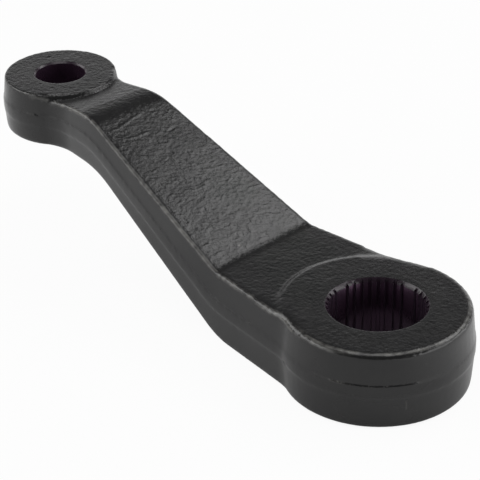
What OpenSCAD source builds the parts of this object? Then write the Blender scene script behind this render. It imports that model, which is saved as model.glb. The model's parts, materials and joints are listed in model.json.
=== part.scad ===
// Drop-forged steel pitman arm: a splined boss, a stepped blade and a tapered stud eye in one piece.
// Millimetres. The origin is on the axis of the splined bore, in the plane of the boss's lower face.
// +X runs to the stud eye, +Z up along both bores, and y = 0 is the middle plane of the arm.

/* [Ends] */
// Distance between the axes of the two bores
centre_distance = 157.7; // [150:0.1:190]
// Height of the eye's top face over the boss's top face
end_rise = 26.8; // [22:0.1:36]
// Radius of the splined boss on its parting line
boss_r = 31; // [30:0.1:36]
// Height of the splined boss
boss_h = 26.3; // [24:0.1:32]
// Height of the boss's top face over the blade beside it
boss_step = 0.8; // [0.4:0.1:1.6]
// Radius of the top edge of the boss's round pad, where it runs out over the blade
pad_r = 28; // [27:0.1:29]
// How far the pad's axis lies from the bore towards the blade
pad_shift = 2; // [1:0.1:2.5]
// Width of the pad's sloped edge
pad_slope_w = 1.8; // [1:0.1:3]
// Radius of the stud eye on its parting line
eye_r = 20.8; // [20.5:0.1:25]
// Height of the stud eye with its pad
eye_h = 19.4; // [18:0.1:24]
// Radius of the round pad on the eye
eye_pad_r = 18.5; // [15:0.1:19]
// Height of the pad over the eye's shoulder
eye_pad_h = 0.7; // [0.3:0.1:1.2]
// Height of the eye's shoulder over the lowest part of the blade beside it
eye_step = 0.8; // [0.2:0.1:1.4]

/* [Blade] */
// Width of the blade at the lower bend, over the parting line
low_width = 47.2; // [40:0.1:49]
// Width of the blade at the upper bend, over the parting line
high_width = 32.8; // [28:0.1:38]
// Radius of the hollow corner between blade and boss, seen from above
root_r = 24; // [16:0.1:32]
// Radius of the hollow corner between blade and eye, seen from above
neck_r = 19; // [5:0.1:20]
// Place of the lower bend of the top face along +X
low_bend_x = 51.7; // [50:0.1:60]
// Place of the upper bend of the top face along +X
high_bend_x = 121.2; // [112:0.1:126]
// Radius of the lower bend of the top face
low_bend_r = 10; // [4:0.5:24]
// Radius of the upper bend of the top face
high_bend_r = 23.5; // [8:0.5:40]
// How far the lower bend of the underside lies behind that of the top face
under_low_back = -0.1; // [-2:0.1:4]
// How far the upper bend of the underside lies behind that of the top face
under_high_back = 2.2; // [-2:0.1:6]
// Radius of the lower bend of the underside
under_low_r = 28; // [10:0.5:40]
// Radius of the upper bend of the underside
under_high_r = 37.5; // [10:0.5:46]
// Fall of the top face from the upper bend to the foot of the eye
eye_dip = 1; // [0:0.1:1.5]
// Angle by which the lower bend runs out of square with the blade
low_skew = 2.5; // [-4:0.5:4]

/* [Forging] */
// Draft of the walls above the parting line
upper_draft = 5.5; // [2:0.5:8]
// Draft of the walls below the parting line
lower_draft = 4; // [2:0.5:8]
// Height of the parting line as a share of the thickness
parting = 0.54; // [0.42:0.01:0.58]
// Width of the upright land left where the flash was trimmed off along the parting line
land_w = 4.2; // [1:0.1:6]
// Step from the land in to the wall above it
upper_step = 0.3; // [0.1:0.05:0.6]
// Step from the land in to the wall below it
lower_step = 0.25; // [0.05:0.05:0.6]
// Radius of the upper edge of the boss
boss_edge_r = 2; // [0.6:0.1:3]
// Radius of the upper edge of the blade
blade_edge_r = 2; // [0.6:0.1:3]
// Radius of the upper edge of the eye's shoulder
eye_edge_r = 1.2; // [0.4:0.1:1.4]
// Radius of the edge of the eye's pad
pad_edge_r = 0.4; // [0.1:0.1:0.8]
// Radius of the lower edge all round
under_edge_r = 1.9; // [0.6:0.1:3]

/* [Splined bore] */
// Tooth places round the bore
spline_places = 36; // [24:4:40]
// Places left uncut as wide master teeth, spaced evenly
master_teeth = 4; // [2:2:4]
// Angle from +X round to the first master tooth
spline_turn = 2.8; // [-5:0.1:5]
// Radius over the tooth tips
spline_tip_r = 15.1; // [14:0.05:16]
// Depth of the grooves
spline_depth = 0.9; // [0.5:0.01:1]
// Width of the flat floor of a groove
spline_floor_w = 1; // [0.4:0.02:1.2]
// Angle of a groove's flank to its middle line
spline_flank = 12; // [5:1:30]
// Width of the broken edge at both mouths, past the groove floors
spline_mouth = 0.25; // [0.1:0.05:0.6]
// Depth of the lead-in over the tooth tips at both mouths
spline_lead = 1.3; // [0.5:0.1:3]

/* [Stud seat] */
// Radius of the tapered hole in the eye's top face, before its chamfer
seat_r = 8.8; // [7:0.05:11]
// Loss of diameter for each millimetre of depth
seat_taper = 0.125; // [0.05:0.005:0.17]
// Width of the chamfer at both mouths of the tapered hole
seat_mouth = 0.55; // [0.2:0.05:1.2]

/* [Hidden] */
$fn = 120;
// Steps in each rounded edge, hollow corner and bend
edge_steps = 5;
corner_steps = 9;
bend_steps = 14;
slope_steps = 8;
// Depth to which one body of the forging reaches into the next, and the overlap of a cut past a face
bury = 0.2;
past = 1;
// How far the pad's side stands back from the blade's side below it
pad_shy = 0.05;
// Places of the blade's buried ends, as shares of a hollow corner's radius and of the width there
buried_back = 0.25;
buried_width = 0.5;
// Heights of the ends and of the blade's flats
boss_top = boss_h;
eye_top = boss_top + end_rise;
eye_low = eye_top - eye_h;
shoulder_top = eye_top - eye_pad_h;
low_flat = boss_top - boss_step;
eye_flat = shoulder_top - eye_step;
high_flat = eye_flat + eye_dip;
boss_part = parting * low_flat;
eye_part = eye_low + parting * (eye_flat - eye_low);
// Bends of the underside
under_low_x = low_bend_x - under_low_back;
under_high_x = high_bend_x - under_high_back;
// Plan of the blade: the straight side and its outward normal
side_slope = (high_width - low_width) / 2 / (high_bend_x - low_bend_x);
side_len = sqrt(1 + side_slope * side_slope);
side_normal = [-side_slope / side_len, 1 / side_len];
// Groove floors of the bore
spline_root_r = spline_tip_r + spline_depth;

// Half of a wall, from the edge of the land to a face dz from the parting line, as
// [inset, distance from the parting line]: step in from the land, draft, rounded edge
function half_wall(dz, r, draft, step) =
    let (foot = land_w / 2 + step,
         centre = step + tan(draft) * (dz - r - foot) + r / cos(draft))
    concat(
        [[0, land_w / 2], [step, foot]],
        [for (i = [0:edge_steps])
            let (a = draft + (90 - draft) * i / edge_steps)
            [centre - r * cos(a), dz - r * (1 - sin(a))]]);

// Rows of points in a whole wall
rows = 2 * (edge_steps + 3);

// Wall from the lower face to the upper one as [inset, height]
function wall(low, part, high, low_r, high_r) =
    let (under = half_wall(part - low, low_r, lower_draft, lower_step),
         over = half_wall(high - part, high_r, upper_draft, upper_step))
    concat(
        [for (i = [rows / 2 - 1:-1:0]) [under[i][0], part - under[i][1]]],
        [for (w = over) [w[0], part + w[1]]]);

// Angle of the straight run between two bends, and the tangent length of a bend on it
function run_angle(x1, z1, x2, z2) = atan2(z2 - z1, x2 - x1);
function tangent_len(r, angle) = r * tan(angle / 2);

// Height at x of a face that is level at z1, climbs between two bends and is level again at z2
function stepped(x, x1, z1, r1, x2, z2, r2) =
    let (a = run_angle(x1, z1, x2, z2),
         t1 = tangent_len(r1, a),
         t2 = tangent_len(r2, a))
    x <= x1 - t1 ? z1 :
    x < x1 + t1 * cos(a) ? z1 + r1 - sqrt(r1 * r1 - (x - x1 + t1) * (x - x1 + t1)) :
    x <= x2 - t2 * cos(a) ? z1 + (x - x1) * tan(a) :
    x < x2 + t2 ? z2 - r2 + sqrt(r2 * r2 - (x - x2 - t2) * (x - x2 - t2)) :
    z2;

// Reach of the two bends of the top face and of the underside
top_angle = run_angle(low_bend_x, low_flat, high_bend_x, high_flat);
under_angle = run_angle(under_low_x, 0, under_high_x, eye_low);
low_from = min(low_bend_x - tangent_len(low_bend_r, top_angle),
               under_low_x - tangent_len(under_low_r, under_angle));
low_to = max(low_bend_x + tangent_len(low_bend_r, top_angle) * cos(top_angle),
             under_low_x + tangent_len(under_low_r, under_angle) * cos(under_angle));
high_from = min(high_bend_x - tangent_len(high_bend_r, top_angle) * cos(top_angle),
                under_high_x - tangent_len(under_high_r, under_angle) * cos(under_angle));
high_to = max(high_bend_x + tangent_len(high_bend_r, top_angle),
              under_high_x + tangent_len(under_high_r, under_angle));

// Share of the fall towards the eye that is reached at x
function dip_share(x) =
    max(0, min(1, (x - high_to) / (centre_distance - eye_pad_r - high_to)));

// Top face and underside of the blade
function top_z(x) =
    stepped(x, low_bend_x, low_flat, low_bend_r, high_bend_x, high_flat, high_bend_r)
    - eye_dip * dip_share(x);
function under_z(x) =
    stepped(x, under_low_x, 0, under_low_r, under_high_x, eye_low, under_high_r);

// Half width of the blade on the straight side
function half_w(x) = low_width / 2 + side_slope * (x - low_bend_x);

// Centre of the hollow corner of radius r between the straight side and a round end
function corner_centre(end_x, end_r, r, side) =
    let (k = half_w(0) + r * side_len,
         a = 1 + side_slope * side_slope,
         b = 2 * (side_slope * k - end_x),
         c = end_x * end_x + k * k - (end_r - bury + r) * (end_r - bury + r),
         x = (-b + side * sqrt(b * b - 4 * a * c)) / (2 * a))
    [x, side_slope * x + k];

root_c = corner_centre(0, boss_r, root_r, 1);
neck_c = corner_centre(centre_distance, eye_r, neck_r, -1);
side_dir = atan2(-side_normal[1], -side_normal[0]);
root_dir = atan2(-root_c[1], -root_c[0]);
neck_dir = atan2(-neck_c[1], centre_distance - neck_c[0]);

// Stations along a hollow corner and along the straight side: [x, y, normal x, normal y, place]
function corner_stations(c, r, from, to) =
    [for (i = [0:corner_steps])
        let (a = from + (to - from) * i / corner_steps,
             x = c[0] + r * cos(a))
        [x, c[1] + r * sin(a), -cos(a), -sin(a), x]];
function side_station(x, skew) =
    let (s = x - skew * half_w(x))
    [s, half_w(s), side_normal[0], side_normal[1], x];

// Station buried in a round end, so that the blade starts and stops inside it
function buried_station(x, y) = [x, y, 0, 1, x];

// All stations of one side: +1 for y > 0, -1 for the mirrored side
function stations(side) =
    let (skew = side * tan(low_skew),
         root = corner_stations(root_c, root_r, root_dir, side_dir),
         neck = corner_stations(neck_c, neck_r, side_dir, neck_dir),
         last = neck[corner_steps])
    concat(
        [buried_station(root[0][0] - buried_back * root_r, buried_width * root[0][1])],
        root,
        [for (i = [0:bend_steps])
            side_station(low_from + (low_to - low_from) * i / bend_steps, skew)],
        [for (i = [1:slope_steps - 1])
            side_station(low_to + (high_from - low_to) * i / slope_steps,
                         skew * (1 - i / slope_steps))],
        [for (i = [0:bend_steps])
            side_station(high_from + (high_to - high_from) * i / bend_steps, 0)],
        neck,
        [buried_station(last[0] + buried_back * neck_r, buried_width * last[1])]);

// Wall points of one station, from the underside to the top face; raise lifts the top face
// and shy draws the wall in
function station_wall(st, side, raise, shy) =
    let (low = under_z(st[4]), high = top_z(st[4]))
    [for (w = wall(low, low + parting * (high - low), high + raise, under_edge_r, blade_edge_r))
        [st[0] - (w[0] + shy) * st[2], side * (st[1] - (w[0] + shy) * st[3]), w[1]]];

// One skin drawn through the first stations of both sides
module skin(count, raise = 0, shy = 0) {
    right = stations(1);
    left = stations(-1);
    ring = 2 * rows;
    points = [for (i = [0:count - 1])
        let (r = station_wall(right[i], 1, raise, shy),
             l = station_wall(left[i], -1, raise, shy))
        each concat(r, [for (j = [rows - 1:-1:0]) l[j]])];
    sides = [for (i = [0:count - 2], j = [0:ring - 1])
        let (k = (j + 1) % ring, a = i * ring, b = a + ring)
        each [[a + j, b + j, b + k], [a + j, b + k, a + k]]];
    first_cap = [for (j = [0:rows - 2])
        let (m = ring - 1 - j)
        each [[j, j + 1, m - 1], [j, m - 1, m]]];
    shift = (count - 1) * ring;
    last_cap = [for (f = first_cap) [f[2] + shift, f[1] + shift, f[0] + shift]];
    polyhedron(points = points, faces = concat(sides, first_cap, last_cap));
}

// Blade with both bends, from inside the boss to inside the eye
module blade() {
    skin(len(stations(1)));
}

// Round end turned from the same wall as the blade
module round_end(r, low, part, high, high_r) {
    rotate_extrude()
        polygon(concat(
            [[0, low]],
            [for (w = wall(low, part, high, under_edge_r, high_r)) [r - w[0], w[1]]],
            [[0, high]]));
}

// Splined boss, with a round pad that runs out over the root of the blade and fades into its edges
module boss() {
    reach = boss_step + blade_edge_r;
    round_end(boss_r, 0, boss_part, boss_top, boss_edge_r);
    intersection() {
        skin(corner_steps + 3, boss_step, pad_shy);
        translate([pad_shift, 0, boss_top - reach])
            cylinder(r1 = pad_r + pad_slope_w * reach / boss_step, r2 = pad_r, h = reach);
    }
}

// Stud eye with its round pad
module eye() {
    translate([centre_distance, 0, 0]) {
        round_end(eye_r, eye_low, eye_part, shoulder_top, eye_edge_r);
        rotate_extrude()
            polygon(concat(
                [[0, shoulder_top - past], [eye_pad_r, shoulder_top - past]],
                [for (i = [0:edge_steps])
                    let (a = 90 * i / edge_steps)
                    [eye_pad_r - pad_edge_r * (1 - cos(a)), eye_top - pad_edge_r * (1 - sin(a))]],
                [[0, eye_top]]));
    }
}

// Section of the bore: the tip circle with a groove at every place but the master teeth
module spline_section() {
    apart = spline_places / master_teeth;
    deep_w = spline_floor_w / 2;
    tip_w = deep_w + (spline_depth + past) * tan(spline_flank);
    circle(r = spline_tip_r);
    for (i = [0:spline_places - 1])
        if (i % apart != 0)
            rotate(spline_turn + 360 * i / spline_places)
                polygon([
                    [spline_tip_r - past, -tip_w],
                    [spline_root_r, -deep_w],
                    [spline_root_r, deep_w],
                    [spline_tip_r - past, tip_w]]);
}

// Splined bore with a lead-in at both mouths
module splined_bore() {
    widen = (spline_root_r + spline_mouth - spline_tip_r) / spline_lead;
    depth = spline_lead + 2 * past;
    inner_r = spline_tip_r - widen * past;
    outer_r = inner_r + widen * depth;
    translate([0, 0, -past])
        linear_extrude(height = boss_h + 2 * past)
            spline_section();
    translate([0, 0, boss_top - spline_lead - past])
        cylinder(r1 = inner_r, r2 = outer_r, h = depth);
    translate([0, 0, -past])
        cylinder(r1 = outer_r, r2 = inner_r, h = depth);
}

// Tapered hole for a ball stud, wide end up, with a chamfer at both mouths
module stud_seat() {
    fall = seat_taper / 2;
    low_r = seat_r - fall * eye_h;
    translate([centre_distance, 0, 0]) {
        translate([0, 0, eye_low - past])
            cylinder(r1 = low_r - fall * past, r2 = seat_r + fall * past, h = eye_h + 2 * past);
        translate([0, 0, eye_top - seat_mouth])
            cylinder(r1 = seat_r, r2 = seat_r + seat_mouth + past, h = seat_mouth + past);
        translate([0, 0, eye_low - past])
            cylinder(r1 = low_r + seat_mouth + past, r2 = low_r, h = seat_mouth + past);
    }
}

// The whole forging with both bores cut
module pitman_arm() {
    color([0.07, 0.07, 0.075])
        difference() {
            union() {
                blade();
                boss();
                eye();
            }
            splined_bore();
            stud_seat();
        }
}

pitman_arm();
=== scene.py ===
"""Looks of a drop-forged pitman arm: a coated forging with a splined bore and a tapered stud seat.

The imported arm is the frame. Its solid is copied, closed at both bores and drawn into one even skin. That
skin gets the wrinkles, creases and pits of a forging, and then both bores are cut, as a shop would do it.
"""

import json
import logging
import math
from dataclasses import dataclass, field
from enum import Enum
from typing import Dict, List, Sequence, Set, Tuple

import bmesh
import bpy
from mathutils import Matrix, Vector, noise
from mathutils.bvhtree import BVHTree
from mathutils.kdtree import KDTree

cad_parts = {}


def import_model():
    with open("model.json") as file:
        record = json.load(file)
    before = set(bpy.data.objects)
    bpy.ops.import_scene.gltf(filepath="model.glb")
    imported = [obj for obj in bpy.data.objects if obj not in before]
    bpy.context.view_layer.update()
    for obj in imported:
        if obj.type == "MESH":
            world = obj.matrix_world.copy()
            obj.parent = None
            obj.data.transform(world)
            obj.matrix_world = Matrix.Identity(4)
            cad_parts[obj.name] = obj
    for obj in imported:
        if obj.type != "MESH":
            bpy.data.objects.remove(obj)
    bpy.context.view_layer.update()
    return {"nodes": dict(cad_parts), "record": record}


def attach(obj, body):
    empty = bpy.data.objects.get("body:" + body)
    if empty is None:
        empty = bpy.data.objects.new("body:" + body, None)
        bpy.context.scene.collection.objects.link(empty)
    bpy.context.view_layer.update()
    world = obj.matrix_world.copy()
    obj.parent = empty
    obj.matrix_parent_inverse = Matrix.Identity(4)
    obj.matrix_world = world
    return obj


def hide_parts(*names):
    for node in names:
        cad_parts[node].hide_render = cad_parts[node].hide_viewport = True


LOG = logging.getLogger("pitman_arm")
MM = 0.001
NODE = "pitman_arm"
BODY = "root"
# Attribute of the lighter bared colour: worn coat for the marks, and worn coat plus painted highlight along
# the upper edges that face the camera.
BARED_AND_HIGHLIGHT = "bared"
GRAIN = "grain"
WELD = 0.001 * MM
WHITE = (1, 1, 1, 1)
Colour = Tuple[float, float, float, float]
Span = Tuple[float, float]
Profile = Sequence[Span]
Socket = bpy.types.NodeSocket


class Zone(Enum):
    """Where on the forging a point of the skin lies."""

    FACE = "face"
    SLOPE = "slope"
    EYE = "eye"
    WALL = "wall"
    UNDER = "under"


@dataclass(frozen=True)
class Relief:
    """How deep each kind of unevenness is in one zone, in millimetres.

    Attributes:
        swell: Long, soft unevenness of the die.
        wrinkle: Short wrinkles of the scaled skin.
        crease: Long thin folds.
        pit: Round pits left by scale.
    """

    swell: float
    wrinkle: float
    crease: float
    pit: float

    def mixed(self, other: "Relief", share: float) -> "Relief":
        """Mixes in a share of another relief."""
        pairs = zip(vars(self).values(), vars(other).values())
        return Relief(*(mine + share * (its - mine) for mine, its in pairs))


@dataclass(frozen=True)
class Pattern:
    """Sizes of the skin's unevenness, in millimetres.

    Attributes:
        swell: Long waves.
        fold: Short wrinkles.
        fine: Bumps between them.
        finest: Smallest bumps.
        long_fold: Long thin folds.
        crease: Levels of those folds between which one rises.
        speck: Specks of scale.
        pit: Levels of those specks between which a pit sinks.
        wave: Waves that bend all folds.
        bend: How far they do.
    """

    swell: float = 11.0
    fold: float = 2.6
    fine: float = 1.1
    finest: float = 0.75
    long_fold: float = 9.0
    crease: Span = (0.94, 1.0)
    speck: float = 1.7
    pit: Span = (0.52, 0.82)
    wave: float = 5.0
    bend: float = 1.2

    def height(self, place: Vector, relief: Relief) -> float:
        """Height of the unevenness at a point.

        Args:
            place: Point on the skin, in millimetres.
            relief: Depths there.

        Returns:
            Height over the even skin, in millimetres.
        """
        bend = noise.noise_vector(place / self.wave) * self.bend
        folds = 1 - 2 * abs(cloud(place + bend, self.fold))
        wrinkle = 0.5 * folds + 0.9 * cloud(place, self.fine) + 0.5 * cloud(place, self.finest, (3, 11, 29))
        crease = ramp(1 - abs(cloud(place + bend * 2, self.long_fold, (31, 7, 3))), *self.crease)
        pit = ramp(cloud(place, self.speck, (5, 41, 17)), *self.pit)
        return (relief.swell * cloud(place, self.swell) + relief.wrinkle * wrinkle
                + relief.crease * crease - relief.pit * pit)


@dataclass(frozen=True)
class EdgeWearAndHighlight:
    """Lighter bared colour along the upper edges that face the camera: partly worn coat, partly painted
    highlight.

    Attributes:
        share: Share of that lighter bared colour.
        front_x: Places along +X between which it rises on the boss's rim, in millimetres.
        front_tilt: Sines of the tilts between which it rises, and falls again.
        near_y: The same for the edges on the +Y side, by the normal's Y.
        near_x: Normal's X between which it rises on those edges.
        upper_z: Normal's Z between which all of it rises.
        patch_mm: Sizes of the small and the large patches, in millimetres.
        patch_by: What these add to the middle level.
        patch_mid: Middle level.
        patch_ends: Least and most of the sum.
    """

    share: float = 0.19
    front_x: Span = (10.0, 0.0)
    front_tilt: Tuple[Span, Span] = ((0.1, 0.25), (0.7, 0.5))
    near_y: Tuple[Span, Span] = ((0.3, 0.55), (0.97, 0.85))
    near_x: Span = (-0.45, -0.2)
    upper_z: Span = (0.1, 0.35)
    patch_mm: Span = (1.6, 7.0)
    patch_by: Span = (0.9, 0.6)
    patch_mid: float = 0.6
    patch_ends: Span = (0.1, 1.5)

    def at(self, place: Vector, normal: Vector) -> float:
        """Reads the lighter bared colour at a point, partly worn coat and partly painted highlight.

        Args:
            place: Point on the skin, in millimetres.
            normal: Its normal.

        Returns:
            Share of the lighter bared colour.
        """
        # Painted highlight: only edges that face the camera get the lighter colour, with some worn coat in
        # it.
        front = window(normal.xy.length, *self.front_tilt) * smooth_step(place.x, *self.front_x)
        near = window(normal.y, *self.near_y) * smooth_step(normal.x, *self.near_x)
        at_edge = max(front, near) * smooth_step(normal.z, *self.upper_z)
        small = self.patch_by[0] * cloud(place, self.patch_mm[0])
        large = self.patch_by[1] * cloud(place, self.patch_mm[1], (13, 5, 9))
        least, most = self.patch_ends
        return self.share * at_edge * min(most, max(least, self.patch_mid + small + large))


@dataclass(frozen=True)
class Mark:
    """A fold, dent or scratch along a line on the skin.

    Attributes:
        line: Corners of the line, in millimetres.
        half_width: Distance at which it has faded out, in millimetres.
        height: Height over the skin, in millimetres, and below nothing for a dent.
        bared: Share of the coat that is gone in its middle.
    """

    line: Sequence[Tuple[float, float, float]]
    half_width: float
    height: float
    bared: float = 0.0

    def spots(self, step: float) -> List[Vector]:
        """Points along the line.

        Args:
            step: Distance of the points, in millimetres.

        Returns:
            The points, in millimetres.
        """
        corners = [Vector(corner) for corner in self.line]
        found = [corners[0]]
        for start, end in zip(corners, corners[1:]):
            count = max(1, round((end - start).length / step))
            found += [start.lerp(end, i / count) for i in range(1, count + 1)]
        return found


class MarkMap:
    """Finds the mark that a point of the skin lies on."""

    def __init__(self, marks: Sequence[Mark], step: float = 0.2) -> None:
        """Collects the marks.

        Args:
            marks: All marks of the skin.
            step: Distance of the points that stand for a line, in millimetres.
        """
        spots = [(spot, mark) for mark in marks for spot in mark.spots(step)]
        self.owners = [mark for _, mark in spots]
        self.tree = tree_of([spot for spot, _ in spots])

    def at(self, place: Vector) -> Tuple[float, float]:
        """Reads the marks at a point.

        Args:
            place: Point on the skin, in millimetres.

        Returns:
            Height over the skin, in millimetres, and share of the coat that is gone.
        """
        _, index, gap = self.tree.find(place)
        mark = self.owners[index]
        if gap >= mark.half_width:
            return 0.0, 0.0
        share = smooth_step(gap, mark.half_width, 0.0)
        return mark.height * share, mark.bared * share


def ramp(value: float, low: float, high: float) -> float:
    """Rises evenly from nothing at the low value to one at the high one."""
    return min(1.0, max(0.0, (value - low) / (high - low)))


def smooth_step(value: float, low: float, high: float) -> float:
    """Rises smoothly from nothing at the low value to one at the high one."""
    share = ramp(value, low, high)
    return share * share * (3 - 2 * share)


def window(value: float, rise: Span, fall: Span) -> float:
    """Rises smoothly over one span and falls over the other, whose first value gives nothing too."""
    return smooth_step(value, *rise) * smooth_step(value, *fall)


def cloud(place: Vector, size: float, shift: Sequence[float] = (0, 0, 0)) -> float:
    """Level of a pattern with clouds of one size, moved by a shift so that it differs from others."""
    return noise.noise(place / size + Vector(shift))


def heading(bearing: float, elevation: float = 0.0) -> Vector:
    """Direction with a bearing from +X round to +Y and a height over the horizon, in degrees."""
    side, rise = math.radians(bearing), math.radians(elevation)
    return Vector((math.cos(side) * math.cos(rise), math.sin(side) * math.cos(rise), math.sin(rise)))


def tree_of(points: Sequence[Vector]) -> KDTree:
    """Sorts points so that the nearest one can be found.

    Args:
        points: The points.

    Returns:
        The search tree.
    """
    tree = KDTree(len(points))
    for index, point in enumerate(points):
        tree.insert(point, index)
    tree.balance()
    return tree


def add_object(name: str, data: bpy.types.ID) -> bpy.types.Object:
    """Links a new object at the origin.

    Args:
        name: Name of the object.
        data: Mesh, light or camera that it shows.

    Returns:
        The object.
    """
    made = bpy.data.objects.new(name, data)
    bpy.context.scene.collection.objects.link(made)
    return made


def add_shape(name: str, bm: bmesh.types.BMesh) -> bpy.types.Object:
    """Links a shape as a new object and frees it.

    Args:
        name: Name of the object.
        bm: The shape.

    Returns:
        The object.
    """
    mesh = bpy.data.meshes.new(name)
    bm.to_mesh(mesh)
    bm.free()
    return add_object(name, mesh)


def settled(source: bpy.types.Object, name: str) -> bpy.types.Mesh:
    """Applies an object's modifiers and removes the object.

    Args:
        source: Object with modifiers.
        name: Name of the new mesh.

    Returns:
        The finished mesh.
    """
    graph = bpy.context.evaluated_depsgraph_get()
    mesh = bpy.data.meshes.new_from_object(source.evaluated_get(graph))
    mesh.name = name
    bpy.data.objects.remove(source)
    return mesh


def turned(profile: Profile, centre: Vector, steps: int) -> bmesh.types.BMesh:
    """Turns an outline about an upright axis into a closed shape.

    Args:
        profile: Radius and height of each point, in metres, from the axis back to the axis.
        centre: A point on the axis.
        steps: Facets round the axis.

    Returns:
        The shape, with faces pointing outwards.
    """
    bm = bmesh.new()
    points = [bm.verts.new((centre.x + r, centre.y, z)) for r, z in profile]
    edges = [bm.edges.new(pair) for pair in zip(points, points[1:])]
    bmesh.ops.spin(bm, geom=points + edges, cent=centre, axis=(0, 0, 1), angle=math.tau, steps=steps,
                   use_merge=True)
    bmesh.ops.remove_doubles(bm, verts=bm.verts, dist=WELD)
    bmesh.ops.recalc_face_normals(bm, faces=bm.faces)
    return bm


class NodeBoard:
    """Short way to place and link the nodes of one material or world."""

    COLOUR_INPUTS = (0, 6, 7)
    COLOUR_OUTPUT = 2

    def __init__(self, tree: bpy.types.NodeTree) -> None:
        """Starts from an empty tree.

        Args:
            tree: Node tree of a material or world.
        """
        tree.nodes.clear()
        self.tree = tree

    def add(self, kind: str, **settings: object) -> bpy.types.Node:
        """Adds a node.

        Args:
            kind: Node type, without the ShaderNode in front.
            **settings: Properties of the node.

        Returns:
            The node.
        """
        node = self.tree.nodes.new("ShaderNode" + kind)
        for name, value in settings.items():
            setattr(node, name, value)
        return node

    def put(self, target: Socket, term: object) -> None:
        """Links or sets one input.

        Args:
            target: The input.
            term: A socket or a value.
        """
        if isinstance(term, Socket):
            self.tree.links.new(term, target)
        else:
            target.default_value = term

    def feed(self, node: bpy.types.Node, **inputs: object) -> None:
        """Links or sets inputs by name, with underscores for spaces."""
        for name, value in inputs.items():
            self.put(node.inputs[name.replace("_", " ")], value)

    def math(self, operation: str, *terms: object) -> Socket:
        """Does one sum.

        Args:
            operation: Name of the operation.
            *terms: Sockets or numbers.

        Returns:
            The result.
        """
        node = self.add("Math", operation=operation)
        for target, term in zip(node.inputs, terms):
            self.put(target, term)
        return node.outputs[0]

    def vector(self, operation: str, first: Socket, second: object, output: str = "Value") -> Socket:
        """Does one sum with vectors.

        Args:
            operation: Name of the operation.
            first: First vector.
            second: Second vector.
            output: Vector or Value, by the operation.

        Returns:
            The result.
        """
        node = self.add("VectorMath", operation=operation)
        for target, term in zip(node.inputs, (first, second)):
            self.put(target, term)
        return node.outputs[output]

    def span(self, value: Socket, ends: Span, to: Span = (0, 1)) -> Socket:
        """Maps a range of values smoothly to another one.

        Args:
            value: What is mapped.
            ends: Values that give the two results.
            to: The two results.

        Returns:
            The mapped value.
        """
        node = self.add("MapRange", interpolation_type="SMOOTHSTEP")
        self.feed(node, Value=value, From_Min=ends[0], From_Max=ends[1], To_Min=to[0], To_Max=to[1])
        return node.outputs["Result"]

    def blend(self, share: object, first: object, second: object) -> Socket:
        """Mixes two colours.

        Args:
            share: Share of the second colour.
            first: First colour.
            second: Second colour.

        Returns:
            The mixed colour.
        """
        node = self.add("Mix", data_type="RGBA")
        for index, term in zip(self.COLOUR_INPUTS, (share, first, second)):
            self.put(node.inputs[index], term)
        return node.outputs[self.COLOUR_OUTPUT]

    def finish(self, kind: str, share: Socket, first: bpy.types.Node, second: bpy.types.Node) -> None:
        """Mixes two shaders and links them to the output.

        Args:
            kind: Type of the output node.
            share: Share of the second shader.
            first: First shader.
            second: Second shader.
        """
        mix = self.add("MixShader")
        for target, term in zip(mix.inputs, (share, first.outputs[0], second.outputs[0])):
            self.put(target, term)
        self.feed(self.add(kind), Surface=mix.outputs[0])

    def grain(self, place: Socket, size_mm: float, detail: float, roughness: float = 0.5) -> Socket:
        """Adds a cloudy pattern.

        Args:
            place: Coordinates in metres.
            size_mm: Size of a cloud.
            detail: Finer layers.
            roughness: Strength of the finer layers.

        Returns:
            The pattern, between 0 and 1.
        """
        node = self.add("TexNoise")
        self.feed(node, Vector=place, Scale=1 / (size_mm * MM), Detail=detail, Roughness=roughness)
        return node.outputs["Fac"]


@dataclass(frozen=True)
class Mouth:
    """Upper mouth of a bore, in metres.

    Attributes:
        middle: Its middle.
        radius: Its radius.
        lead: Depth of the lead-in.
    """

    middle: Vector
    radius: float
    lead: float


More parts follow.
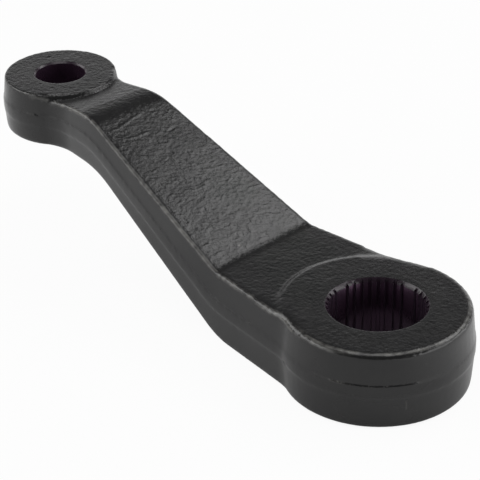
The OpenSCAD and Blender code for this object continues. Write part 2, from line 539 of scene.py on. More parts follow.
@dataclass(frozen=True)
class BlackCoat:
    """Satin black coat on a forged skin.

    Attributes:
        colour: Coat.
        dusty: Coat where handling has dulled it.
        bared: Metal where the coat is gone, also used as a painted highlight along the upper edges that
            face the camera.
        bore: Oiled dark steel of the cut bores.
        flank: Painted highlight on the tooth flanks below the lead-ins, lighter than the bore's steel.
        bore_tint: Tint of what the bores reflect below their lead-ins.
        gloss: Roughness of the coat, at its most and least glossy.
        bore_gloss: Roughness in the bores.
        ior: Refractive index of the coat.
        dust_mm: Size of the dull clouds, in millimetres like the sizes below.
        dust_ends: Levels of the pattern between which the coat turns dull.
        gloss_mm: Size of the glossier clouds.
        gloss_ends: Levels of the pattern between which the gloss changes.
        grain_mm: Size of the finest grain.
        grain_depth: Depth of that grain.
        lip: How far inside its mouth a bore's colour begins.
    """

    colour: Colour = (0.0147, 0.0145, 0.015, 1)
    dusty: Colour = (0.0175, 0.0172, 0.0172, 1)
    bared: Colour = (0.45, 0.44, 0.41, 1)
    bore: Colour = (0.019, 0.0104, 0.0178, 1)
    # Painted highlight: a lighter colour for the light that the tooth flanks catch.
    flank: Colour = (0.085, 0.062, 0.085, 1)
    bore_tint: Colour = (1.0, 0.6, 0.95, 1)
    gloss: Span = (0.16, 0.24)
    bore_gloss: float = 0.26
    ior: float = 1.475
    dust_mm: float = 14.0
    dust_ends: Span = (0.35, 0.7)
    gloss_mm: float = 5.0
    gloss_ends: Span = (0.3, 0.7)
    grain_mm: float = 0.6
    grain_depth: float = 0.075
    lip: float = 0.02

    def material(self, bores: Sequence[Mouth], highlit_flanks: Span) -> bpy.types.Material:
        """Makes the finish.

        Args:
            bores: Upper mouth of each bore.
            highlit_flanks: Radii between which the tooth flanks lie that get the painted highlight, in
                metres.

        Returns:
            The material.
        """
        made = bpy.data.materials.new("black_coat")
        made.use_nodes = True
        board = NodeBoard(made.node_tree)
        place = board.add("TexCoord").outputs["Object"]
        flat = board.vector("MULTIPLY", place, (1, 1, 0), "Vector")
        height = board.vector("DOT_PRODUCT", place, (0, 0, 1))
        inside, deep = self._inside(board, flat, height, bores)
        # Painted highlight on the tooth flanks below the lead-ins: they get the lighter colour.
        reach = board.vector("DISTANCE", flat, (0, 0, 0))
        between = board.math("MULTIPLY", board.math("GREATER_THAN", reach, highlit_flanks[0]),
                             board.math("LESS_THAN", reach, highlit_flanks[1]))
        wall = board.blend(board.math("MULTIPLY", between, deep), self.bore, self.flank)
        dust = board.span(board.grain(place, self.dust_mm, detail=4), self.dust_ends)
        coat = board.blend(dust, self.colour, self.dusty)
        # Lighter bared colour: worn coat, and a painted highlight along the upper edges that face the
        # camera.
        coat = board.blend(board.add("Attribute", attribute_name=BARED_AND_HIGHLIGHT).outputs["Fac"], coat, self.bared)
        clouds = board.grain(place, self.gloss_mm, detail=5, roughness=0.6)
        gloss = board.span(clouds, self.gloss_ends, self.gloss)
        shader = board.add("BsdfPrincipled")
        roughness = board.math("ADD", board.math("MULTIPLY", gloss, board.math("SUBTRACT", 1, inside)),
                               board.math("MULTIPLY", inside, self.bore_gloss))
        board.feed(
            shader,
            Base_Color=board.blend(inside, coat, wall),
            Roughness=roughness,
            IOR=self.ior,
            Specular_Tint=board.blend(deep, WHITE, self.bore_tint),
            Normal=self._skin(board, place, inside),
        )
        board.feed(board.add("OutputMaterial"), Surface=shader.outputs["BSDF"])
        return made

    def _inside(self, board: NodeBoard, flat: Socket, height: Socket, bores: Sequence[Mouth]
                ) -> Tuple[Socket, Socket]:
        """Marks the walls of the bores.

        Args:
            board: Where the nodes go.
            flat: Coordinates in metres, without height.
            height: The height.
            bores: Upper mouth of each bore.

        Returns:
            One in the bores and nothing outside, and the same below the lead-ins only.
        """
        shares, deeper = [], []
        for mouth in bores:
            reach = board.vector("DISTANCE", flat, (*mouth.middle.xy, 0))
            share = board.math("LESS_THAN", reach, mouth.radius - self.lip * MM)
            low = board.math("LESS_THAN", height, mouth.middle.z - mouth.lead)
            shares.append(share)
            deeper.append(board.math("MULTIPLY", share, low))
        return board.math("MAXIMUM", *shares), board.math("MAXIMUM", *deeper)

    def _skin(self, board: NodeBoard, place: Socket, inside: Socket) -> Socket:
        """Adds the grain that is finer than the modelled wrinkles.

        Args:
            board: Where the nodes go.
            place: Coordinates in metres.
            inside: One in the bores.

        Returns:
            The surface normal.
        """
        fine = board.add("Bump")
        share = board.math("MULTIPLY", board.add("Attribute", attribute_name=GRAIN).outputs["Fac"],
                           board.math("SUBTRACT", 1, inside))
        grain = board.grain(place, self.grain_mm, detail=2, roughness=0.6)
        height = board.math("MULTIPLY", grain, share)
        board.feed(fine, Strength=1.0, Distance=self.grain_depth * MM, Height=height)
        return fine.outputs["Normal"]


@dataclass
class SplinedBore:
    """Bore with narrow teeth and four wide master teeth.

    Attributes:
        tip_r: Radius over the tooth tips, in millimetres like every size here.
        depth: Depth of the grooves.
        floor_w: Width of a groove's flat floor.
        flank: Angle of a groove's flank to its middle line, in degrees.
        places: Tooth places round the bore.
        masters: Places left uncut.
        turn: Angle from +X round to the first master tooth, in degrees.
        mouth: Width of the broken edge at both mouths.
        lead: Depth of the lead-in over the tips.
        height: Height of the boss.
        past: How far the cutters reach past both faces.
        facets: Facets round a lead-in.
    """

    tip_r: float
    height: float
    depth: float = 0.9
    floor_w: float = 1.0
    flank: float = 12.0
    places: int = 36
    masters: int = 4
    turn: float = 2.8
    mouth: float = 0.25
    lead: float = 1.3
    past: float = 1.0
    facets: int = 144

    @property
    def mouth_r(self) -> float:
        """Radius of both mouths."""
        return self.tip_r + self.depth + self.mouth

    def cutters(self) -> List[bpy.types.Object]:
        """Makes the shapes that cut the bore.

        Returns:
            The toothed prism and the two lead-ins.
        """
        slope = (self.mouth_r - self.tip_r) / self.lead
        wide = (self.mouth_r + slope * self.past) * MM
        narrow = (self.tip_r - slope * self.past) * MM
        ends = []
        for name, face, out in (("upper_lead", self.height, 1), ("lower_lead", 0.0, -1)):
            deep = (face - out * (self.lead + self.past)) * MM
            far = (face + out * self.past) * MM
            outline = [(0.0, deep), (narrow, deep), (wide, far), (0.0, far)]
            ends.append(add_shape(name, turned(outline, Vector(), self.facets)))
        return [self._toothed_prism()] + ends

    def _toothed_prism(self) -> bpy.types.Object:
        """Makes the prism with a ridge for each groove.

        Returns:
            The cutter.
        """
        step = 360 / self.places
        half_floor = self.floor_w / 2
        half_tip = half_floor + self.depth * math.tan(math.radians(self.flank))
        tip = math.degrees(math.asin(half_tip / self.tip_r))
        floor = math.degrees(math.asin(half_floor / (self.tip_r + self.depth)))
        bm = bmesh.new()
        outline = []
        for place in range(self.places):
            master = place % (self.places // self.masters) == 0
            floor_r = self.tip_r if master else self.tip_r + self.depth
            radii = (self.tip_r, floor_r, floor_r, self.tip_r, self.tip_r)
            for radius, angle in zip(radii, (-tip, -floor, floor, tip, step / 2)):
                spot = heading(self.turn + place * step + angle) * radius
                outline.append(bm.verts.new((spot.x * MM, spot.y * MM, -self.past * MM)))
        raised = bmesh.ops.extrude_face_region(bm, geom=[bm.faces.new(outline)])["geom"]
        top = [v for v in raised if isinstance(v, bmesh.types.BMVert)]
        bmesh.ops.translate(bm, verts=top, vec=(0, 0, (self.height + 2 * self.past) * MM))
        bmesh.ops.recalc_face_normals(bm, faces=bm.faces)
        return add_shape("toothed_prism", bm)


@dataclass
class StudSeat:
    """Tapered hole for a ball stud, wide end up.

    Attributes:
        centre: Middle of the upper mouth, in metres.
        height: Height of the eye, in millimetres like the sizes below.
        upper_r: Radius at the top face, before the chamfer.
        taper: Loss of diameter for each millimetre of depth.
        mouth: Width of the chamfer at both mouths.
        past: How far the cutter reaches past both faces.
        facets: Facets round the cutter.
    """

    centre: Vector
    height: float
    upper_r: float = 8.8
    taper: float = 0.125
    mouth: float = 0.55
    past: float = 1.0
    facets: int = 128

    @property
    def mouth_r(self) -> float:
        """Radius of the upper mouth."""
        return self.upper_r + self.mouth

    def cutters(self) -> List[bpy.types.Object]:
        """Makes the shape that cuts the seat.

        Returns:
            The cutter.
        """
        fall = self.taper / 2
        lower_r = self.upper_r - fall * self.height
        top = self.centre.z
        low = top - self.height * MM
        outline = [
            (0.0, low - self.past * MM),
            ((lower_r + self.mouth + self.past) * MM, low - self.past * MM),
            ((lower_r + fall * self.mouth) * MM, low + self.mouth * MM),
            ((self.upper_r - fall * self.mouth) * MM, top - self.mouth * MM),
            ((self.upper_r + self.mouth + self.past) * MM, top + self.past * MM),
            (0.0, top + self.past * MM),
        ]
        axis = Vector((self.centre.x, self.centre.y, 0))
        return [add_shape("seat_cutter", turned(outline, axis, self.facets))]


@dataclass
class ForgedArm:
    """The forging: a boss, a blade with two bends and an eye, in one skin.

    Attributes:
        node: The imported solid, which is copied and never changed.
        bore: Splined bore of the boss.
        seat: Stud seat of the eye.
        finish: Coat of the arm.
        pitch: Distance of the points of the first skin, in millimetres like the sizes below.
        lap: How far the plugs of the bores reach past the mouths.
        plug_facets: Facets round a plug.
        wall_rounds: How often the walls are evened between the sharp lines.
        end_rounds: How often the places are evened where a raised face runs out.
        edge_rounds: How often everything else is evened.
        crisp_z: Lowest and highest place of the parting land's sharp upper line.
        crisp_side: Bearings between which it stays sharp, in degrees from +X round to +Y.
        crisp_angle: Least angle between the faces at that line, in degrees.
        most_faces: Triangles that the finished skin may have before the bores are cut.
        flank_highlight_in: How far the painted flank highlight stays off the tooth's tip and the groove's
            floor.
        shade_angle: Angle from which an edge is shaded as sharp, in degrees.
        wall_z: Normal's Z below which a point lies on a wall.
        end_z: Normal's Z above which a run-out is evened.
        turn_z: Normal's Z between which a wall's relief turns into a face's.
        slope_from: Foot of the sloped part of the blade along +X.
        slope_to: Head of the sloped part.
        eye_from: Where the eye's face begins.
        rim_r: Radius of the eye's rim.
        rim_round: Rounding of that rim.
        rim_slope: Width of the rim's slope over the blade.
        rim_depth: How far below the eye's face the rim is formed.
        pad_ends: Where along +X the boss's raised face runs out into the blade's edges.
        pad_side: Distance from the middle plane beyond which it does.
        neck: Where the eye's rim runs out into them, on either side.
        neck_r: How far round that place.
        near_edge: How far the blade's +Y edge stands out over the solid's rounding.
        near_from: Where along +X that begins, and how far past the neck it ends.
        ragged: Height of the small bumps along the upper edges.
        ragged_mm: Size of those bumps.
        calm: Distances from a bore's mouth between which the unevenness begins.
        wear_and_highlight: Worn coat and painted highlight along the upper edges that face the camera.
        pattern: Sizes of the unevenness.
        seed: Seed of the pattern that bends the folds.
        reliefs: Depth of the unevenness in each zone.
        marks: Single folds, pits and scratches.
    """

    node: bpy.types.Object
    bore: SplinedBore
    seat: StudSeat
    finish: BlackCoat = field(default_factory=BlackCoat)
    pitch: float = 0.42
    lap: float = 0.3
    plug_facets: int = 96
    wall_rounds: int = 16
    end_rounds: int = 40
    edge_rounds: int = 2
    crisp_z: Span = (14.0, 18.0)
    crisp_side: Span = (106.0, 158.0)
    crisp_angle: float = 25.0
    most_faces: int = 188000
    flank_highlight_in: float = 0.06
    shade_angle: float = 42.0
    wall_z: float = 0.3
    end_z: float = 0.2
    turn_z: Span = (0.4, 0.85)
    slope_from: float = 53.0
    slope_to: float = 118.0
    eye_from: float = 122.0
    rim_r: float = 19.9
    rim_round: float = 0.7
    rim_slope: float = 0.9
    rim_depth: float = 1.61
    pad_ends: Span = (4.0, 30.0)
    pad_side: float = 17.0
    neck: Span = (145.3, 15.7)
    neck_r: float = 3.5
    near_edge: float = 0.3
    near_from: Span = (16.0, 4.0)
    ragged: float = 0.09
    ragged_mm: float = 1.5
    calm: Span = (0.2, 2.0)
    wear_and_highlight: EdgeWearAndHighlight = EdgeWearAndHighlight()
    pattern: Pattern = Pattern()
    seed: int = 7
    reliefs: Dict[Zone, Relief] = field(default_factory=lambda: {
        Zone.FACE: Relief(swell=0.04, wrinkle=0.05, crease=0.0, pit=0.0),
        Zone.SLOPE: Relief(swell=0.06, wrinkle=0.052, crease=0.045, pit=0.02),
        Zone.EYE: Relief(swell=0.05, wrinkle=0.055, crease=0.015, pit=0.03),
        Zone.WALL: Relief(swell=0.04, wrinkle=0.007, crease=0.0, pit=0.0),
        Zone.UNDER: Relief(swell=0.06, wrinkle=0.02, crease=0.01, pit=0.02),
    })
    marks: Sequence[Mark] = (
        Mark(((113.6, 11.6, 49.8), (113.5, 9.9, 49.7), (114.0, 6.9, 49.9), (114.7, 4.2, 50.2),
              (115.3, 1.5, 50.4), (115.7, -1.1, 50.6)), 0.7, 0.08),
        Mark(((110.1, 12.4, 48.4), (108.8, 10.5, 47.9), (108.1, 8.4, 47.6), (107.9, 5.9, 47.5),
              (107.9, 3.3, 47.5), (108.1, 0.9, 47.6)), 0.6, 0.07),
        Mark(((105.2, -5.5, 46.4), (105.6, -7.7, 46.6), (106.2, -9.9, 46.8)), 0.6, -0.07),
        Mark(((151.0, 18.9, 52.4), (148.6, 17.9, 52.2), (146.6, 16.7, 52.0), (145.2, 15.6, 51.5)),
             0.9, 0.0, 0.15),
        Mark(((154.5, 11.3, 53.1),), 0.8, -0.2),
        Mark(((170.7, -5.0, 53.1),), 0.9, -0.2),
        Mark(((148.7, 18.4, 46.1), (147.6, 18.0, 45.7)), 0.5, -0.15),
        Mark(((146.3, 17.4, 45.2), (145.4, 16.7, 44.9)), 0.5, -0.15),
        Mark(((-26.9, 14.6, 9.9), (-26.8, 14.4, 6.9)), 0.4, -0.03, 0.08),
        Mark(((55.4, 7.4, 27.2),), 0.4, -0.05, 0.6),
    )

    def build(self) -> bpy.types.Object:
        """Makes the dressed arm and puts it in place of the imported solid.

        Returns:
            The arm.
        """
        solid = self._closed_solid()
        skin = self._even_skin(solid)
        self._draw_on(skin, solid)
        solid.free()
        self._wrinkle(skin)
        arm = self._cut_bores(self._thinned(skin))
        arm.data.materials.clear()
        inner, outer = self.bore.tip_r + self.flank_highlight_in, self.bore.tip_r + self.bore.depth - self.flank_highlight_in
        highlit_flanks = (inner * MM, outer * MM)
        arm.data.materials.append(self.finish.material(self._mouths(), highlit_flanks))
        arm.data.shade_smooth()
        arm.data.set_sharp_from_angle(angle=math.radians(self.shade_angle))
        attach(arm, BODY)
        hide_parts(NODE)
        LOG.info("%s: %d faces", arm.name, len(arm.data.polygons))
        return arm

    def _mouths(self) -> List[Mouth]:
        """Upper mouths of both bores."""
        return [Mouth(Vector((0, 0, self.bore.height * MM)), self.bore.mouth_r * MM, self.bore.lead * MM),
                Mouth(self.seat.centre, self.seat.mouth_r * MM, self.seat.mouth * MM)]

    def _closed_solid(self) -> bmesh.types.BMesh:
        """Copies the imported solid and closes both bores.

        Returns:
            The copy, in metres.
        """
        bm = bmesh.new()
        bm.from_mesh(self.node.data)
        bmesh.ops.remove_doubles(bm, verts=bm.verts, dist=WELD)
        for mouth, depth in zip(self._mouths(), (self.bore.height * MM, self.seat.height * MM)):
            radius = mouth.radius + self.lap * MM
            middle = Matrix.Translation(mouth.middle - Vector((0, 0, depth / 2)))
            bmesh.ops.create_cone(bm, cap_ends=True, segments=self.plug_facets, radius1=radius,
                                  radius2=radius, depth=depth, matrix=middle)
        bm.normal_update()
        return bm

    def _even_skin(self, solid: bmesh.types.BMesh) -> bpy.types.Mesh:
        """Draws one even skin round the forging.

        Args:
            solid: The closed solid.

        Returns:
            The skin, as fine as the pitch.
        """
        source = add_shape("closed_forging", solid.copy())
        even = source.modifiers.new("even_skin", "REMESH")
        even.mode = "VOXEL"
        even.voxel_size = self.pitch * MM
        skin = settled(source, "forged_skin")
        LOG.info("skin of %d faces at a pitch of %.2f mm", len(skin.polygons), self.pitch)
        return skin

    def _at_land(self, place: Vector) -> bool:
        """Tells whether a point lies near the sharp line of the parting land.

        Args:
            place: The point, in millimetres.

        Returns:
            Whether it does.
        """
        outside = place.xy.length > self.bore.mouth_r + 2 * self.lap
        bearing = math.degrees(math.atan2(place.y, place.x)) % 360
        in_front = place.x < self.pad_ends[1] and self.crisp_side[0] < bearing < self.crisp_side[1]
        return outside and in_front and self.crisp_z[0] < place.z < self.crisp_z[1]

    def _sharp_lines(self, solid: bmesh.types.BMesh) -> KDTree:
        """Collects points along the sharp upper line of the boss's parting land.

        Args:
            solid: The closed solid.

        Returns:
            The points, in metres.
        """
        sharp = math.radians(self.crisp_angle)
        step = self.pitch * MM / 3
        spots = []
        for edge in solid.edges:
            middle = (edge.verts[0].co + edge.verts[1].co) / 2 / MM
            if not self._at_land(middle) or len(edge.link_faces) != 2 or edge.calc_face_angle() < sharp:
                continue
            count = max(1, round(edge.calc_length() / step))
            spots += [edge.verts[0].co.lerp(edge.verts[1].co, i / count) for i in range(count + 1)]
        LOG.info("%d points on sharp lines", len(spots))
        return tree_of(spots)

    def _draw_on(self, skin: bpy.types.Mesh, solid: bmesh.types.BMesh) -> None:
        """Draws the skin on to the solid and its sharp lines, and evens it between them.

        Args:
            skin: The even skin, which is changed.
            solid: The closed solid.
        """
        surface = BVHTree.FromBMesh(solid)
        lines = self._sharp_lines(solid)
        near = 0.6 * self.pitch * MM
        bm = bmesh.new()
        bm.from_mesh(skin)
        loose = []
        for vert in bm.verts:
            place = surface.find_nearest(vert.co)[0]
            line, _, gap = lines.find(place)
            if gap < near:
                vert.co = line
            else:
                vert.co = place
                loose.append(vert)
        held = self._raise_rim(bm)
        loose = [vert for vert in loose if vert not in held]
        bm.normal_update()
        walls = [vert for vert in loose if abs(vert.normal.z) < self.wall_z]
        ends = [vert for vert in loose if vert.normal.z > self.end_z and self._runs_out(vert.co / MM)]
        axes = {f"use_axis_{axis}": True for axis in "xyz"}
        jobs = (walls, self.wall_rounds), (ends, self.end_rounds), (loose, self.edge_rounds)
        for verts, rounds in jobs:
            for _ in range(rounds):
                bmesh.ops.smooth_vert(bm, verts=verts, factor=0.5, **axes)
        bm.to_mesh(skin)
        bm.free()

    def _runs_out(self, place: Vector) -> bool:
        """Tells whether a raised face runs out into the blade's edges at a point, in millimetres."""
        at_pad = self.pad_ends[0] < place.x < self.pad_ends[1] and abs(place.y) > self.pad_side
        return at_pad or math.hypot(place.x - self.neck[0], abs(place.y) - self.neck[1]) < self.neck_r

    def _raise_rim(self, bm: bmesh.types.BMesh) -> Set[bmesh.types.BMVert]:
        """Carries the eye's upper face out to its rim, which is rounded, and crisp over the blade.

        Args:
            bm: The skin, which is changed.

        Returns:
            The points along the crisp rim and its foot.
        """
        eye = self.seat.centre / MM
        flat = self.rim_r - self.rim_round
        edge, foot = self.rim_r - self.rim_slope, self.rim_r
        held = set()
        for vert in bm.verts:
            place = vert.co / MM
            out = (place.xy - eye.xy).length
            if place.z < eye.z - self.rim_depth or out > foot + self.pitch / 2:
                continue
            if place.x >= self.neck[0]:
                rounded = math.sqrt(max(0.0, self.rim_round ** 2 - max(0.0, out - flat) ** 2))
                place.z = max(place.z, eye.z - self.rim_round + rounded) if out < self.rim_r else place.z
            elif out < edge - self.pitch / 2:
                place.z = eye.z
            else:
                line = next((r for r in (edge, foot) if abs(out - r) < self.pitch / 2), out)
                place.xy = eye.xy + (place.xy - eye.xy) * (line / out)
                place.z += (eye.z - place.z) * (foot - line) / self.rim_slope
                held.add(vert)
            vert.co = place * MM
        return held

    def _relief(self, place: Vector, normal: Vector) -> Relief:
        """Finds the relief at a point, blended from zone to zone.

        Args:
            place: Point on the skin, in millimetres.
            normal: Its normal.

        Returns:
            The relief.
        """
        fade = 5.0
        on_slope = min(smooth_step(place.x, self.slope_from - fade, self.slope_from + fade),
                       smooth_step(place.x, self.slope_to + fade, self.slope_to - fade))
        upper = self.reliefs[Zone.FACE].mixed(self.reliefs[Zone.SLOPE], on_slope)
        on_eye = smooth_step(place.x, self.eye_from - fade, self.eye_from)
        upper = upper.mixed(self.reliefs[Zone.EYE], on_eye)
        side = self.reliefs[Zone.WALL].mixed(upper, smooth_step(normal.z, *self.turn_z))
        return side.mixed(self.reliefs[Zone.UNDER], smooth_step(-normal.z, *self.turn_z))

    def _wrinkle(self, skin: bpy.types.Mesh) -> None:
        """Gives the skin its unevenness and its marks.

        Args:
            skin: The even skin, which is changed.
        """
        noise.seed_set(self.seed)
        marks = MarkMap(self.marks)
        bared = skin.attributes.new(BARED_AND_HIGHLIGHT, "FLOAT", "POINT")
        grain = skin.attributes.new(GRAIN, "FLOAT", "POINT")
        roughest = self.reliefs[Zone.SLOPE].wrinkle
        normals = [normal.vector.copy() for normal in skin.vertex_normals]
        shares, grains = [], []
        for vert, normal in zip(skin.vertices, normals):
            place = vert.co / MM
            height, gone = marks.at(place)
            relief = self._relief(place, normal)
            height += self._fullness(place, normal)
            height += self.pattern.height(place, relief) * self._clear(place)
            vert.co += normal * height * MM
            # Lighter bared colour: worn coat of the marks, and along the edges that face the camera partly
            # a painted highlight.
            shares.append(max(gone, self.wear_and_highlight.at(place, normal)))
            grains.append(relief.wrinkle / roughest)
        bared.data.foreach_set("value", shares)
        grain.data.foreach_set("value", grains)

    def _clear(self, place: Vector) -> float:
        """Share of the unevenness that is left near the cut mouths.

        Args:
            place: Point on the skin, in millimetres.

        Returns:
            Nothing at a mouth and one at a distance from it.
        """
        share = 1.0
        for mouth in self._mouths():
            out = (place.xy - mouth.middle.xy / MM).length - mouth.radius / MM
            share = min(share, smooth_step(out, *self.calm))
        return share

    def _fullness(self, place: Vector, normal: Vector) -> float:
        """How far an upper edge stands out over the solid's rounding.

        Args:
            place: Point on the skin, in millimetres.
            normal: Its normal.

        Returns:
            The distance, in millimetres.
        """
        if normal.z <= 0:
            return 0.0
        begin, beyond = self.near_from
        blade = min(smooth_step(place.x, begin, self.pad_ends[1]),
                    smooth_step(place.x, self.neck[0] + beyond, self.neck[0]))
        tilt = abs(normal.y) if blade > 0 else normal.xy.length
        bumps = self.ragged * cloud(place, self.ragged_mm, (7, 19, 23))
        return (2 * tilt * normal.z) ** 2 * ((self.near_edge * blade if normal.y > 0 else 0.0) + bumps)

    def _thinned(self, skin: bpy.types.Mesh) -> bpy.types.Mesh:
        """Joins faces of the walls and the underside, and leaves the upper faces fine.

        Args:
            skin: The wrinkled skin.

        Returns:
            A skin with few enough triangles.
        """
        group = "plain"
        triangles = sum(len(face.vertices) - 2 for face in skin.polygons)
        plain = [index for index, (vert, normal) in enumerate(zip(skin.vertices, skin.vertex_normals))
                 if normal.vector.z < self.wall_z and not self._at_land(vert.co / MM)]
        source = add_object("thick_skin", skin)
        source.vertex_groups.new(name=group).add(plain, 1.0, "REPLACE")
        thin = source.modifiers.new("fewer_faces", "DECIMATE")
        thin.vertex_group = group
        thin.ratio = min(1.0, self.most_faces / triangles)
        LOG.info("%d triangles before thinning", triangles)
        return settled(source, "thin_skin")

    def _cut_bores(self, skin: bpy.types.Mesh) -> bpy.types.Object:
        """Cuts both bores.

        Args:
            skin: The skin without bores.

        Returns:
            The arm.
        """
        source = add_object("blank", skin)
        cutters = self.bore.cutters() + self.seat.cutters()
        for cutter in cutters:
            cut = source.modifiers.new(cutter.name, "BOOLEAN")
            cut.operation = "DIFFERENCE"
            cut.solver = "MANIFOLD"
            cut.object = cutter
        mesh = settled(source, "arm")
        for cutter in cutters:
            bpy.data.objects.remove(cutter)
        return add_object("arm", mesh)


@dataclass(frozen=True)
class Softbox:
    """A flat light that faces the arm.

    Attributes:
        name: Its name.
        bearing: Side on which it stands, in degrees from +X round to +Y.
        elevation: Height over the horizon, in degrees.
        width: Level side, in metres.
        height: Other side, in metres.
        power: In watts.
    """

    name: str
    bearing: float
    elevation: float
    width: float
    height: float
    power: float

    def hang(self, aim: Vector, distance: float) -> None:
        """Puts up the light.

        Args:
            aim: Point that it faces.
            distance: Distance from that point, in metres.
        """
        lamp = bpy.data.lights.new(self.name, "AREA")
        lamp.shape = "RECTANGLE"
        lamp.size = self.width
        lamp.size_y = self.height
        lamp.energy = self.power
        away = heading(self.bearing, self.elevation)
        turn = away.to_track_quat("Z", "Y").to_matrix().to_4x4()
        box = add_object(self.name, lamp)
        box.matrix_world = Matrix.Translation(aim + away * distance) @ turn


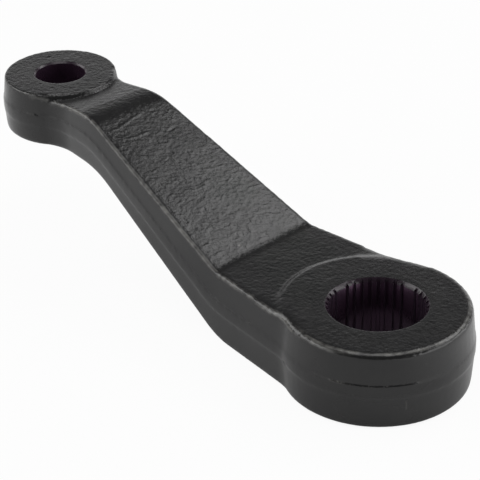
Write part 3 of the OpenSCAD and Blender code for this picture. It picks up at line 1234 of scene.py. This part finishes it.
@dataclass
class Studio:
    """White floor, softboxes round the arm and the photograph's camera.

    Attributes:
        azimuth: Side from which the camera looks, in degrees.
        elevation: Height of the camera over the horizon, in degrees.
        roll: Turn of the camera about its own axis, in degrees.
        distance: Distance of the camera from the origin's plane, in metres.
        aside: How far the camera is moved sideways and upwards in its own plane, in metres.
        lens: Focal length for the usual sensor of 36 mm, in millimetres.
        floor_size: Side of the floor, in metres.
        floor_gap: How far the floor lies below the boss, in millimetres.
        floor_colour: Paper of the floor.
        floor_white: Share of plain white in the floor that is seen.
        painted_floor_reflection: The same in reflections, on the camera's left, in front of the arm and on
            the right, a painted reflection that is brightest on the right.
        gloss_left: Where across the picture the left level turns into the front one, in metres.
        gloss_right: The same for the front level and the right one.
        shaded: Radii between which that white runs out under the boss, in millimetres.
        aim: Point that the lights face, in metres.
        reach: Distance of the lights from it, in metres.
        lights: The softboxes.
        ambient: Even light from all round.
        horizon: Level of the far floor in reflections.
        horizon_ends: Heights of a direction between which it ends.
        gloom: Level of the dark sky in reflections.
        band_side: Shares of a direction away from the camera between which the white band begins.
        band_ends: Heights of a direction between which the band falls to half, and to nothing.
    """

    azimuth: float = 228.37
    elevation: float = 29.53
    roll: float = -1.13
    distance: float = 0.61668
    aside: Span = (-0.04295, 0.04259)
    lens: float = 146.24
    floor_size: float = 8.0
    floor_gap: float = 0.3
    floor_colour: Colour = (0.72, 0.72, 0.72, 1)
    floor_white: float = 0.95
    painted_floor_reflection: Tuple[float, float, float] = (0.5, 0.13, 1.0)
    gloss_left: Span = (-0.14, -0.1)
    gloss_right: Span = (0.03, 0.075)
    shaded: Span = (18.0, 30.0)
    aim: Tuple[float, float, float] = (0.07, 0.0, 0.03)
    reach: float = 1.2
    lights: Sequence[Softbox] = (
        Softbox("overhead_softbox", 138.4, 84.0, 0.85, 0.95, 5.1),
        Softbox("back_softbox", -91.0, 48.0, 0.6, 0.51, 2.9),
        Softbox("right_softbox", -126.6, 40.0, 0.97, 0.42, 2.5),
        Softbox("left_softbox", 40.4, 30.0, 1.39, 0.55, 6.3),
        Softbox("low_right_softbox", -141.6, 13.0, 2.0, 0.47, 7.3),
        Softbox("low_left_softbox", 58.4, 13.0, 1.39, 0.51, 2.5),
    )
    ambient: float = 0.12
    horizon: float = 0.35
    horizon_ends: Span = (0.05, 0.1)
    gloom: float = 0.05
    band_side: Span = (0.6, 0.85)
    band_ends: Tuple[Span, Span] = ((0.2, 0.3), (0.42, 0.5))

    def build(self) -> None:
        """Makes the floor, the light and the camera."""
        self._floor()
        for light in self.lights:
            light.hang(Vector(self.aim), self.reach)
        self._surroundings()
        self._camera()
        bpy.context.scene.view_settings.view_transform = "Standard"
        LOG.info("floor, %d softboxes and camera", len(self.lights))

    def _floor(self) -> None:
        """Makes a white floor that keeps the arm's shadow and is plain paper under the boss."""
        bm = bmesh.new()
        bmesh.ops.create_grid(bm, x_segments=1, y_segments=1, size=self.floor_size / 2,
                              matrix=Matrix.Translation((0, 0, -self.floor_gap * MM)))
        floor = add_shape("floor", bm)
        made = bpy.data.materials.new("white_floor")
        made.use_nodes = True
        board = NodeBoard(made.node_tree)
        place = board.add("TexCoord").outputs["Object"]
        inner, outer = self.shaded
        open_floor = board.span(board.vector("DISTANCE", place, (0, 0, 0)), (inner * MM, outer * MM))
        # Painted reflection: in reflections the floor glows white by a share that changes from the camera's
        # left to its right.
        across = board.vector("DOT_PRODUCT", place, heading(self.azimuth))
        left, front, right = self.painted_floor_reflection
        gloss = board.math("ADD", board.span(across, self.gloss_left, (left - front, 0.0)),
                           board.span(across, self.gloss_right, (front, right)))
        path = board.add("LightPath").outputs
        plain = board.math("MAXIMUM", path["Is Camera Ray"], path["Is Transmission Ray"])
        share = board.math("MAXIMUM", board.math("MULTIPLY", plain, self.floor_white),
                           board.math("MULTIPLY", path["Is Glossy Ray"], gloss))
        paper, white = board.add("BsdfDiffuse"), board.add("Emission")
        board.feed(paper, Color=self.floor_colour)
        board.feed(white, Color=WHITE)
        board.finish("OutputMaterial", board.math("MULTIPLY", share, open_floor), paper, white)
        floor.data.materials.append(made)

    def _surroundings(self) -> None:
        """Makes the backdrop: white near the floor and in a band behind the arm, and dark elsewhere."""
        world = bpy.data.worlds.new("backdrop")
        world.use_nodes = True
        bpy.context.scene.world = world
        board = NodeBoard(world.node_tree)
        direction = board.add("TexCoord").outputs["Generated"]
        height = board.vector("DOT_PRODUCT", direction, (0, 0, 1))
        behind = board.vector("DOT_PRODUCT", direction, heading(self.azimuth + 90))
        half = (0.5, 0.0)
        low, high = (board.span(height, ends, half) for ends in self.band_ends)
        band = board.math("MULTIPLY", board.span(behind, self.band_side), board.math("ADD", low, high))
        horizon = board.span(height, self.horizon_ends, (self.horizon, self.gloom))
        seen, plain = board.add("Background"), board.add("Background")
        board.feed(seen, Color=WHITE, Strength=board.math("MAXIMUM", horizon, band))
        board.feed(plain, Color=WHITE, Strength=self.ambient)
        path = board.add("LightPath").outputs
        shown = board.math("MAXIMUM", path["Is Camera Ray"], path["Is Glossy Ray"])
        shown = board.math("MAXIMUM", shown, path["Is Transmission Ray"])
        board.finish("OutputWorld", shown, plain, seen)

    def _camera(self) -> None:
        """Places the photograph's camera."""
        back = heading(self.azimuth - 90, self.elevation)
        level = Vector((0, 0, 1)).cross(back).normalized()
        right = Matrix.Rotation(math.radians(self.roll), 3, back) @ level
        up = back.cross(right)
        lens = bpy.data.cameras.new("camera")
        lens.lens = self.lens
        camera = add_object("camera", lens)
        axes = Matrix((right, up, back)).transposed()
        place = axes @ Vector((*self.aside, self.distance))
        camera.matrix_world = Matrix.Translation(place) @ axes.to_4x4()
        bpy.context.scene.camera = camera


def main() -> None:
    """Builds the arm and the studio from the sizes in the record."""
    logging.basicConfig(level=logging.INFO, format="%(name)s %(message)s")
    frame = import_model()
    mounts = {mount["name"]: mount for mount in frame["record"]["mounts"]}
    faces = ("boss_top_face", "eye_top_face", "eye_lower_face")
    boss_top, eye_top, eye_low = (Vector(mounts[name]["pos_m"]) for name in faces)
    bore = SplinedBore(tip_r=mounts["sector_shaft_spline"]["dims"]["r_mm"], height=boss_top.z / MM)
    seat = StudSeat(centre=eye_top, height=(eye_top.z - eye_low.z) / MM)
    ForgedArm(frame["nodes"][NODE], bore, seat).build()
    Studio().build()


if __name__ == "__main__":
    main()
